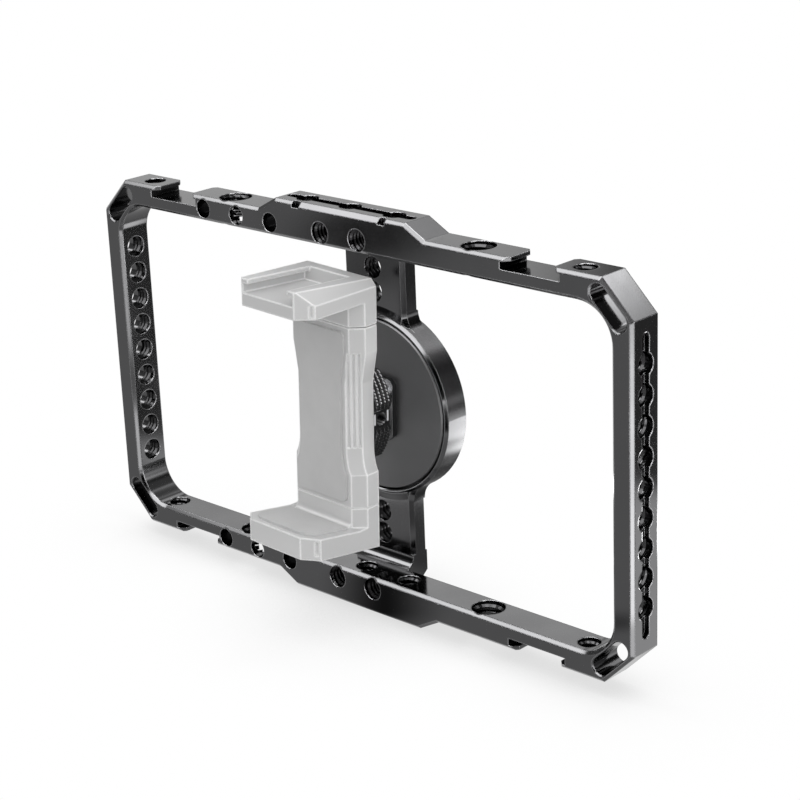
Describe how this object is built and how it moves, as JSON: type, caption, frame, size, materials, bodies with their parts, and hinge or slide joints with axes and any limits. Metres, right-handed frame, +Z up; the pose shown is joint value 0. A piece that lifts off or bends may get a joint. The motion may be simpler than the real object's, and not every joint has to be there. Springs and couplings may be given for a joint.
{
  "type": "phone cage",
  "caption": "Rectangular phone cage with threaded holes and accessory shoes along its rails and a spring phone clamp on a disc that turns in its centre.",
  "frame": {"origin": "mouth of the tripod thread in the middle of the bottom rail, at the middle of the rails' depth", "axes": "+X along the cage to the right as seen from the phone's side, +Y from the phone's side to the back, +Z up"},
  "size_m": [0.2, 0.0496, 0.118],
  "materials": {
    "cage_black": "black anodised, satin",
    "disc_black": "black anodised, satin, turned",
    "wheel_black": "black anodised, toothed",
    "steel_dark": "black oxide steel",
    "steel_bright": "bright steel",
    "clamp_grey": "light grey, satin",
    "pad_grey": "matte rubber",
    "slip_white": "slippery plastic"
  },
  "bodies": {
    "cage": {"cage_frame": "cage_black", "thrust_washer": "slip_white"},
    "rotor": {"turn_disc": "disc_black", "rear_flange": "disc_black", "flange_screws": "steel_dark", "pivot_bolt": "steel_dark", "bolt_washer": "steel_bright", "adapter_plate": "wheel_black", "plate_screws": "steel_dark", "wheel_washer": "steel_bright", "clamp_washer": "steel_dark", "clamp_body": "clamp_grey", "body_pad": "pad_grey", "lower_jaw": "clamp_grey", "lower_pad": "pad_grey", "jaw_screws": "steel_dark"},
    "wheel": {"lock_wheel": "wheel_black"},
    "slider": {"upper_jaw": "clamp_grey", "upper_pad": "pad_grey", "guide_rods": "steel_bright", "rod_screws": "steel_dark"}
  },
  "joints": [
    {"name": "disc_turn", "type": "hinge", "parent": "cage", "child": "rotor", "pos_m": [0, 0, 0.059], "axis": [0, 1, 0], "range_deg": [-92.3, 87.7]},
    {"name": "wheel_turn", "type": "hinge", "parent": "rotor", "child": "wheel", "pos_m": [0, 0, 0.059], "axis": [0, 1, 0], "range_deg": [0, 180]},
    {"name": "jaw_slide", "type": "slide", "parent": "rotor", "child": "slider", "axis": [0.0401, 0, 0.9992], "range_m": [0, 0.03], "stiffness_N_per_m": 300, "springref_m": -0.02}
  ]
}
